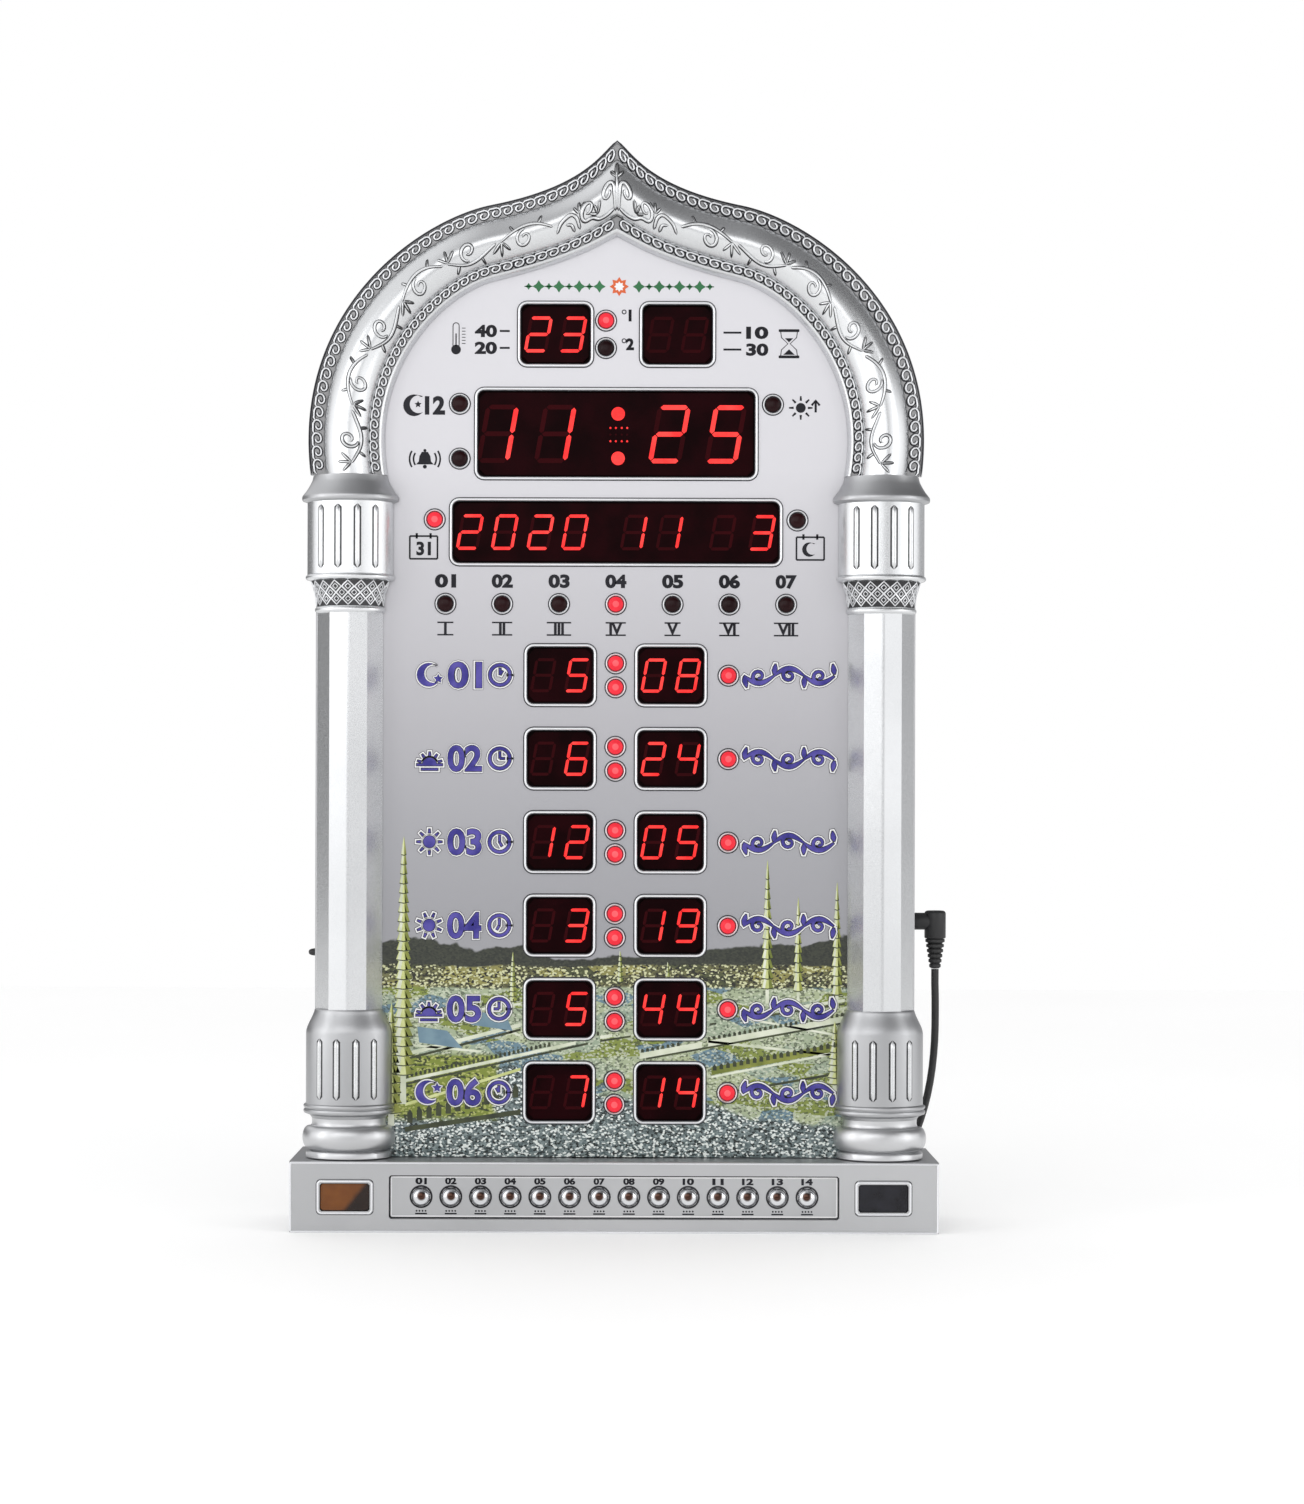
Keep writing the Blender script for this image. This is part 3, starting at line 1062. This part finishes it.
def keyhole_outline(x, z):
    """A hanging keyhole: a round hole for the screw head and a narrow slot above it."""
    spread = math.asin(KEYHOLE_SLOT_RADIUS / KEYHOLE_HEAD_RADIUS)
    points = []
    for k in range(KEYHOLE_STEPS + 1):
        angle = math.pi / 2 + spread + (math.tau - 2 * spread) * k / KEYHOLE_STEPS
        points.append((x + KEYHOLE_HEAD_RADIUS * math.cos(angle),
                       z + KEYHOLE_HEAD_RADIUS * math.sin(angle)))
    for k in range(4):
        angle = math.pi * k / 3
        points.append((x + KEYHOLE_SLOT_RADIUS * math.cos(angle),
                       z + KEYHOLE_LENGTH + KEYHOLE_SLOT_RADIUS * math.sin(angle)))
    return points


def cover_holes():
    """Every opening of the cover: speaker slots, hanging keyholes and screw holes."""
    holes = []
    for k in range(GRILLE_SLOT_COUNT):
        rise = GRILLE_PITCH * (k - (GRILLE_SLOT_COUNT - 1) / 2)
        mouth = SPEAKER_RADIUS - SPEAKER_RIM_WIDTH
        reach = math.sqrt(max(mouth ** 2 - rise ** 2, GRILLE_PITCH ** 2))
        holes.append(round_rect(reach, GRILLE_SLOT_WIDTH / 2, GRILLE_SLOT_WIDTH / 3, 1,
                                (0.0, SPEAKER_HEIGHT + rise)))
    for side in (-1, 1):
        holes.append(keyhole_outline(side * KEYHOLE_SPREAD, SPRING_Z - KEYHOLE_DROP))
        lug = (side * BASE_HALF_WIDTH * LUG_SHARE, (BASE_WALL + LUG_SIZE) / 2)
        holes.append(circle(SCREW_HOLE_RADIUS, POST_SIDES, lug))
    holes += [circle(SCREW_HOLE_RADIUS, POST_SIDES, place) for place in cover_post_places()]
    return holes


def build_cover(finish):
    """The rear cover with its speaker grille, keyholes and a locating lip inside the case."""
    bm = bmesh.new()
    outline = cover_outline()
    outer_front = add_loop(bm, outline, COVER_Y)
    outer_back = add_loop(bm, outline, BACK_Y)
    skin(bm, outer_front, outer_back)
    lip_foot = BASE_HEIGHT + COVER_LIP_RISE
    outside = [(p.x, p.y) for p in shifted(case_inside(lip_foot), -SEAT_GAP)]
    lip_inside = shifted(case_inside(lip_foot + COVER_LIP_THICKNESS), -SEAT_GAP)
    inside = [(p.x, p.y) for p in shifted(lip_inside, -COVER_LIP_THICKNESS)]
    lip_y = COVER_Y - COVER_LIP_HEIGHT
    loops = [add_loop(bm, outside, COVER_Y), add_loop(bm, outside, lip_y),
             add_loop(bm, inside, lip_y), add_loop(bm, inside, COVER_Y)]
    for first, second in zip(loops, loops[1:]):
        skin(bm, first, second)
    back, outer_area, inner_area = [outer_back], [outer_front, loops[0]], [loops[-1]]
    for hole in cover_holes():
        near = add_loop(bm, hole, COVER_Y)
        far = add_loop(bm, hole, BACK_Y)
        skin(bm, near, far)
        back.append(far)
        middle = sum(z for _, z in hole) / len(hole)
        (inner_area if middle > lip_foot else outer_area).append(near)
    fill_flat(bm, back, (0, 1, 0))
    fill_flat(bm, outer_area, (0, -1, 0))
    fill_flat(bm, inner_area, (0, -1, 0))
    return add_object("rear_cover", bm, finish["cover_plastic"])


def build_speaker(finish):
    """The loudspeaker: a pressed basket, its paper cone and the magnet behind."""
    place = (0.0, SHELL_BACK_Y, SPEAKER_HEIGHT)
    mouth = SPEAKER_RADIUS - SPEAKER_RIM_WIDTH
    floor = MAGNET_RADIUS
    frame = [(0.0, BASKET_DEPTH + BASKET_WALL), (floor + BASKET_WALL, BASKET_DEPTH + BASKET_WALL),
             (mouth + BASKET_WALL, SPEAKER_FLANGE), (SPEAKER_RADIUS, SPEAKER_FLANGE),
             (SPEAKER_RADIUS, 0.0), (mouth, 0.0), (floor, BASKET_DEPTH), (0.0, BASKET_DEPTH)]
    turned("speaker_frame", frame, SPEAKER_SIDES, place, (0, -1, 0), finish["speaker_steel"])

    def wall(along):
        return mouth - (mouth - floor) * along / BASKET_DEPTH - 2 * SEAT_GAP

    deep = BASKET_DEPTH - 2 * SEAT_GAP
    hub = floor * DUST_CAP_SHARE
    cone = [(0.0, deep), (wall(deep), deep), (wall(CONE_SETBACK), CONE_SETBACK),
            (wall(CONE_SETBACK) - CONE_THICKNESS, CONE_SETBACK),
            (floor - CONE_THICKNESS, deep - CONE_THICKNESS * 2),
            (hub, deep - CONE_THICKNESS), (hub / 2, deep - hub / 2), (0.0, deep - hub * 2 / 3)]
    turned("speaker_cone", cone, SPEAKER_SIDES, place, (0, -1, 0), finish["speaker_paper"])
    start = BASKET_DEPTH + BASKET_WALL + SEAT_GAP
    end = start + MAGNET_DEPTH
    magnet = [(0.0, start), (MAGNET_RADIUS, start), (MAGNET_RADIUS, end), (0.0, end)]
    turned("speaker_magnet", magnet, SPEAKER_SIDES, place, (0, -1, 0), finish["magnet"])


def build_cell(finish):
    """The cell that keeps the time when the power is off, on the back of the display board."""
    profile = [(0.0, 0.0), (CELL_RADIUS, 0.0), (CELL_RADIUS, CELL_THICKNESS), (0.0, CELL_THICKNESS)]
    place = (CELL_EDGE_MARGIN - INNER_HALF_WIDTH, BOARD_BACK_Y + SEAT_GAP, SPEAKER_HEIGHT)
    turned("backup_cell", profile, SPEAKER_SIDES, place, (0, 1, 0), finish["cell_steel"])


def build_ribbon(finish):
    """The flat ribbon from the display board down through the base's slot to the key board."""
    top_y = BOARD_BACK_Y + SEAT_GAP + RIBBON_THICKNESS / 2
    foot_y = BUTTON_BOARD_BACK_Y + SEAT_GAP + RIBBON_THICKNESS / 2
    top_z = BASE_HEIGHT + BOARD_FOOT_RISE + RIBBON_LAP
    bend_z = BASE_HEIGHT + BOARD_FOOT_RISE / 2
    path = [(top_y, top_z), (top_y, top_z - RIBBON_LAP), (top_y - RIBBON_THICKNESS, bend_z),
            ((top_y + foot_y) / 2, BASE_HEIGHT - BASE_WALL / 2),
            (foot_y + RIBBON_THICKNESS, BASE_HEIGHT - 2 * BASE_WALL),
            (foot_y, BASE_HEIGHT - 3 * BASE_WALL), (foot_y, BUTTON_Z)]
    bm = bmesh.new()
    near, far = [], []
    for i, (y, z) in enumerate(path):
        start = Vector(path[max(i - 1, 0)])
        end = Vector(path[min(i + 1, len(path) - 1)])
        run = (end - start).normalized()
        side = Vector((-run.y, run.x)) * RIBBON_THICKNESS / 2
        near.append((y + side.x, z + side.y))
        far.append((y - side.x, z - side.y))
    section = near + far[::-1]
    faces = [[bm.verts.new((side * RIBBON_WIDTH / 2, y, z)) for y, z in section] for side in (-1, 1)]
    skin(bm, *faces)
    bm.faces.new(faces[0])
    bm.faces.new(faces[1])
    add_object("ribbon_cable", bm, finish["ribbon"])


def build_side_fittings(finish):
    """The temperature probe in its ring on the left wall, and the power jack in the right wall."""
    left = (-CASE_HALF_WIDTH - SEAT_GAP, SIDE_FITTING_Y, PROBE_HEIGHT)
    hole = probe_hole_radius()
    bore = PROBE_RADIUS + SEAT_GAP
    ring = [(PROBE_RING_RADIUS, 0.0), (PROBE_RING_RADIUS, PROBE_RING_THICKNESS / 2),
            (hole, PROBE_RING_THICKNESS), (bore, PROBE_RING_THICKNESS),
            (bore, -CASE_WALL), (hole, -CASE_WALL), (hole, 0.0)]
    turned("probe_ring", ring, ROUND_SIDES, left, (-1, 0, 0), finish["chrome_plating"], closed=True)
    tip = PROBE_LENGTH + PROBE_RING_THICKNESS
    bead = [(0.0, -PROBE_INNER_LENGTH), (PROBE_RADIUS, -PROBE_INNER_LENGTH),
            (PROBE_RADIUS, PROBE_RING_THICKNESS),
            (PROBE_SHOULDER_RADIUS, tip - PROBE_RADIUS), (PROBE_SHOULDER_RADIUS / 2, tip), (0.0, tip)]
    turned("temperature_probe", bead, ROUND_SIDES, left, (-1, 0, 0), finish["black_rubber"])
    right = (CASE_HALF_WIDTH + SEAT_GAP, SIDE_FITTING_Y, JACK_HEIGHT)
    inner = JACK_FLANGE_THICKNESS - JACK_LENGTH
    bore_end = JACK_FLANGE_THICKNESS - JACK_BORE_DEPTH
    jack = [(0.0, inner), (JACK_BODY_RADIUS, inner), (JACK_BODY_RADIUS, 0.0), (JACK_FLANGE_RADIUS, 0.0),
            (JACK_FLANGE_RADIUS, JACK_FLANGE_THICKNESS), (JACK_BORE_RADIUS, JACK_FLANGE_THICKNESS),
            (JACK_BORE_RADIUS, bore_end), (0.0, bore_end)]
    turned("dc_jack", jack, ROUND_SIDES, right, (1, 0, 0), finish["black_plastic"])


def build_plug(finish):
    """The right-angle plug: barrel in the jack, round arm, round body and a ribbed strain relief."""
    place = (PLUG_BODY_X, SIDE_FITTING_Y, JACK_HEIGHT)
    radius = PLUG_BODY_RADIUS
    profile = [(0.0, PLUG_BODY_TOP), (radius - PLUG_EDGE, PLUG_BODY_TOP),
               (radius, PLUG_BODY_TOP - PLUG_EDGE), (radius, -PLUG_BODY_DROP)]
    rib = RELIEF_LENGTH / RELIEF_RIBS
    for k in range(RELIEF_RIBS):
        top = -PLUG_BODY_DROP - k * rib
        wide = RELIEF_TOP_RADIUS + (RELIEF_FOOT_RADIUS - RELIEF_TOP_RADIUS) * k / (RELIEF_RIBS - 1)
        groove = wide * RELIEF_GROOVE_DEPTH_SHARE
        profile.append((wide, top))
        if k < RELIEF_RIBS - 1:
            foot = top - rib * RELIEF_GROOVE_START_SHARE
            profile += [(wide, foot), (groove, foot), (groove, top - rib)]
        else:
            profile += [(wide, top - rib), (0.0, top - rib)]
    body = turned("dc_plug", profile, ROUND_SIDES, place, (0, 0, 1), finish["black_rubber"])
    bm = bmesh.new()
    barrel_radius = JACK_BORE_RADIUS - SEAT_GAP
    arm = [(0.0, -PLUG_BARREL_LENGTH), (barrel_radius, -PLUG_BARREL_LENGTH), (barrel_radius, 0.0),
           (PLUG_ARM_RADIUS, 0.0), (PLUG_ARM_RADIUS, PLUG_ARM_LENGTH), (0.0, PLUG_ARM_LENGTH)]
    add_turned(bm, arm, ROUND_SIDES, (PLUG_FACE_X, SIDE_FITTING_Y, JACK_HEIGHT), (1, 0, 0))
    combine(body, add_object("dc_plug_arm", bm, finish["black_rubber"]), "UNION")


def smooth_route(route):
    """Even points on a smooth curve through the route's own points."""
    padded = [2 * route[0] - route[1]] + route + [2 * route[-1] - route[-2]]
    fine = []
    for a, b, c, d in zip(padded, padded[1:], padded[2:], padded[3:]):
        for k in range(CORD_SPLINE_STEPS):
            t = k / CORD_SPLINE_STEPS
            curve = (2 * a - 5 * b + 4 * c - d) * t ** 2 + (3 * b - a - 3 * c + d) * t ** 3
            fine.append((2 * b + (c - a) * t + curve) / 2)
    fine.append(route[-1])
    reach = [0.0]
    for first, second in zip(fine, fine[1:]):
        reach.append(reach[-1] + (second - first).length)
    count = round(reach[-1] / CORD_SPACING)
    even, i = [], 0
    for k in range(count + 1):
        goal = reach[-1] * k / count
        while i < len(reach) - 2 and reach[i + 1] < goal:
            i += 1
        part = (goal - reach[i]) / (reach[i + 1] - reach[i])
        even.append(fine[i].lerp(fine[i + 1], part))
    return even


def cord_route():
    """The free stretch, whose shares run across, back and down from the plug to the coil."""
    relief_foot = JACK_HEIGHT - PLUG_BODY_DROP - RELIEF_LENGTH
    start = Vector((PLUG_BODY_X, SIDE_FITTING_Y, relief_foot - SEAT_GAP))
    end = Vector((COIL_X, COIL_CENTRE_Y - CORD_DIAMETER - SEAT_GAP, COIL_LOW_Z))
    run = end - start
    return smooth_route([Vector((start.x + run.x * across, start.y + run.y * back, end.z - run.z * up))
                         for across, back, up in CORD_ROUTE_SHARES])


def tail_route():
    """The tail, whose shares run across to the adapter, back towards the clock, and up to the relief."""
    start = Vector((COIL_CENTRE_X - CORD_DIAMETER - SEAT_GAP, COIL_CENTRE_Y + COIL_RADIUS,
                    COIL_LOW_Z + COIL_PITCH))
    end = Vector((ADAPTER_FACE_X + ADAPTER_RELIEF_LENGTH + SEAT_GAP, COIL_CENTRE_Y + ADAPTER_SHIFT,
                  ADAPTER_RELIEF_HEIGHT))
    run = end - start
    return smooth_route([start + Vector((run.x * across, run.y * back, run.z * up))
                         for across, back, up in TAIL_ROUTE_SHARES])


def add_tube(name, points, resolution, material):
    """A round cord along points: a poly curve with a bevel and filled ends."""
    curve = bpy.data.curves.new(name, "CURVE")
    curve.dimensions = "3D"
    curve.bevel_depth = CORD_DIAMETER / 2
    curve.bevel_resolution = resolution
    curve.use_fill_caps = True
    spline = curve.splines.new("POLY")
    spline.points.add(len(points) - 1)
    for target, point in zip(spline.points, points):
        target.co = (*point, 1.0)
    spline.use_smooth = True
    curve.materials.append(material)
    item = bpy.data.objects.new(name, curve)
    bpy.context.scene.collection.objects.link(item)
    return item


def coil_points():
    """One unbroken run: a layer wound inwards, a climb at the inner turn, and a layer wound outwards."""
    turns = COIL_TURNS_PER_LAYER
    centre = Vector((COIL_CENTRE_X, COIL_CENTRE_Y, COIL_LOW_Z))
    points = []
    for k in range(round(2 * turns * COIL_LOOP_POINTS) + 1):
        turn = k / COIL_LOOP_POINTS
        radius = COIL_RADIUS - COIL_PITCH * (turns - abs(turn - turns))
        climb = min(max((turn - turns) / COIL_CLIMB_TURNS + 0.5, 0.0), 1.0)
        angle = math.tau * turn
        offset = Vector((radius * math.cos(angle), radius * math.sin(angle), COIL_PITCH * climb))
        points.append(centre + offset)
    arrival = Vector((0.0, CORD_DIAMETER, 0.0))
    departure = Vector((-CORD_DIAMETER, 0.0, 0.0))
    return [points[0] - arrival] + points + [points[-1] + departure]


def least_gap(points, skip):
    """The least gap between parts of a tube that are more than skip points apart."""
    least = math.inf
    for i, first in enumerate(points):
        for second in points[i + skip:]:
            least = min(least, (first - second).length)
    return least - CORD_DIAMETER


def build_cord(finish):
    """The lead: free stretch, coil, tail to the adapter, and the tie round the coil."""
    rubber = finish["black_rubber"]
    add_tube("power_cord", cord_route(), 2, rubber)
    add_tube("power_cord_tail", tail_route(), 2, rubber)
    points = coil_points()
    print(f"least gap in the coil: {least_gap(points, COIL_LOOP_POINTS // 2) / MM:.3f} mm")
    runs = (cord_route(), points, tail_route())
    length = sum((b - a).length for run in runs for a, b in zip(run, run[1:]))
    print(f"length of the cord: {length:.3f} m")
    add_tube("power_cord_coil", points, 1, rubber)
    build_tie(finish)


def build_tie(finish):
    """A strap round all the turns of the coil, on its side away from the lead."""
    reach = COIL_PITCH * (COIL_TURNS_PER_LAYER - 1) / 2 + CORD_DIAMETER / 2 + TIE_SIDE_ROOM
    low_z = COIL_FLOOR_GAP - SEAT_GAP
    high_z = COIL_FLOOR_GAP + CORD_DIAMETER + COIL_PITCH + SEAT_GAP
    middle = (COIL_CENTRE_X - COIL_MIDDLE_RADIUS, (low_z + high_z) / 2)
    inner = round_rect(reach, (high_z - low_z) / 2, TIE_CORNER / 2, 1, middle)
    outer_height = (high_z - low_z) / 2 + TIE_THICKNESS
    outer = round_rect(reach + TIE_THICKNESS, outer_height, TIE_CORNER, 1, middle)
    bm = bmesh.new()
    near_y = COIL_CENTRE_Y - TIE_WIDTH / 2
    far_y = COIL_CENTRE_Y + TIE_WIDTH / 2
    loops = [add_loop(bm, inner, near_y), add_loop(bm, outer, near_y),
             add_loop(bm, outer, far_y), add_loop(bm, inner, far_y)]
    for first, second in zip(loops, loops[1:] + loops[:1]):
        skin(bm, first, second)
    add_object("cord_tie", bm, finish["black_plastic"])


def build_adapter(finish):
    """The plug-in supply that the lead comes from, lying on its side behind the clock."""
    far_x = ADAPTER_FACE_X - ADAPTER_LENGTH
    middle_y = COIL_CENTRE_Y + ADAPTER_SHIFT
    bm = bmesh.new()
    box(bm, (far_x, middle_y - ADAPTER_WIDTH / 2, SEAT_GAP),
        (ADAPTER_FACE_X, middle_y + ADAPTER_WIDTH / 2, SEAT_GAP + ADAPTER_HEIGHT))
    bmesh.ops.bevel(bm, geom=bm.edges[:], offset=ADAPTER_EDGE, segments=2, profile=0.5, affect="EDGES")
    body = add_object("power_adapter", bm, finish["black_plastic"])
    bm = bmesh.new()
    wide = ADAPTER_RELIEF_RADIUS
    relief = [(0.0, -ADAPTER_EDGE), (wide, -ADAPTER_EDGE), (wide, ADAPTER_RELIEF_LENGTH / 3),
              (RELIEF_FOOT_RADIUS, ADAPTER_RELIEF_LENGTH), (0.0, ADAPTER_RELIEF_LENGTH)]
    place = (ADAPTER_FACE_X, middle_y, ADAPTER_RELIEF_HEIGHT)
    add_turned(bm, relief, ROUND_SIDES, place, (1, 0, 0))
    for side in (-1, 1):
        pin = [(0.0, -ADAPTER_EDGE), (ADAPTER_PIN_RADIUS, -ADAPTER_EDGE),
               (ADAPTER_PIN_RADIUS, ADAPTER_PIN_LENGTH - ADAPTER_PIN_RADIUS), (0.0, ADAPTER_PIN_LENGTH)]
        place = (far_x, middle_y + side * ADAPTER_PIN_SPREAD / 2, ADAPTER_HEIGHT / 2)
        add_turned(bm, pin, POST_SIDES, place, (-1, 0, 0))
    combine(body, add_object("adapter_pins_and_relief", bm, finish["black_plastic"]), "UNION")


def main():
    clear_scene()
    finish = make_materials()
    build_case(finish)
    build_arch(finish)
    for name, side in (("left_column", -1), ("right_column", 1)):
        build_column(name, side * COLUMN_X, finish)
    build_base(finish)
    build_cover(finish)
    build_panel(finish)
    build_displays(finish)
    build_display_board(finish)
    build_sensor_windows(finish)
    for index, x in enumerate(button_places(), start=1):
        build_button(index, x, finish)
    build_button_board(finish)
    build_speaker(finish)
    build_cell(finish)
    build_ribbon(finish)
    build_side_fittings(finish)
    build_plug(finish)
    build_cord(finish)
    build_adapter(finish)


main()
